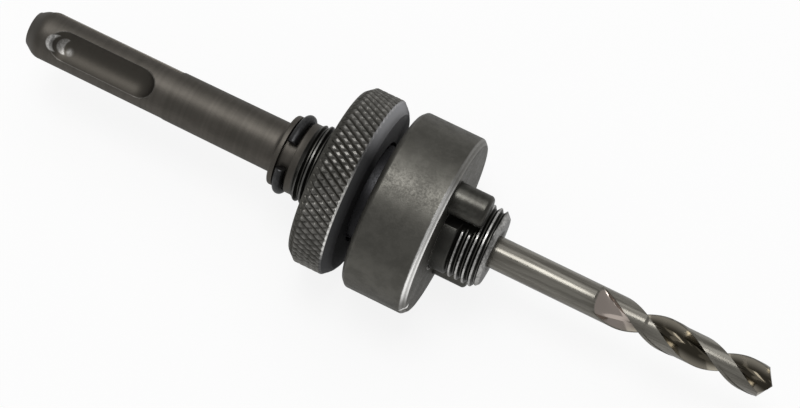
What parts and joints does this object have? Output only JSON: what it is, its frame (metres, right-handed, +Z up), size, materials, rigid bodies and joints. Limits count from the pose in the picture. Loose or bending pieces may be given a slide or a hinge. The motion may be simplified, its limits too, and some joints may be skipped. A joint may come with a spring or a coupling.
{
  "type": "hole saw arbor",
  "caption": "Hole saw arbor with a grooved hammer-drill shank, a knurled lock nut, a sliding collar with drive pins and a twist pilot drill.",
  "frame": {"origin": "on the surface that the arbor lies on, under the middle of its length and of its rims", "axes": "+X along the arbor's axis towards the drill point, +Z up, -Y towards the camera of the picture"},
  "size_m": [0.1558, 0.0364, 0.0364],
  "materials": {
    "black_oxide_steel": "black oxide, satin on the shank and darker on the thread",
    "ring_wire_steel": "black oxide spring wire",
    "polished_tool_steel": "bright ground high-speed steel",
    "set_screw_steel": "black oxide",
    "phosphated_steel": "dull grey-brown phosphated steel with bright worn edges",
    "hardened_pin_steel": "dark polished hardened steel",
    "thin_wire_steel": "bright spring wire",
    "knurled_steel": "grey steel with a bright diamond knurl and a polished front bevel"
  },
  "bodies": {
    "arbor": {"arbor_body": "black_oxide_steel", "rear_snap_ring": "ring_wire_steel", "pilot_drill": "polished_tool_steel", "drill_set_screw": "set_screw_steel"},
    "collar": {"drive_collar": "phosphated_steel", "drive_pin_1": "hardened_pin_steel", "drive_pin_2": "hardened_pin_steel", "nut_snap_ring": "thin_wire_steel"},
    "nut": {"lock_nut": "knurled_steel"}
  },
  "joints": [
    {"name": "collar_slide", "type": "slide", "parent": "arbor", "child": "collar", "axis": [1, 0, 0], "range_m": [-0.00465, 0.006]},
    {"name": "nut_turn", "type": "hinge", "parent": "collar", "child": "nut", "pos_m": [-0.00911, 0, 0.01819], "axis": [1, 0, 0], "range_deg": [-1190, 1535]}
  ],
  "couplings": [
    {"joint": "nut_turn", "follows": "collar_slide", "rad_per_m": 4453}
  ]
}
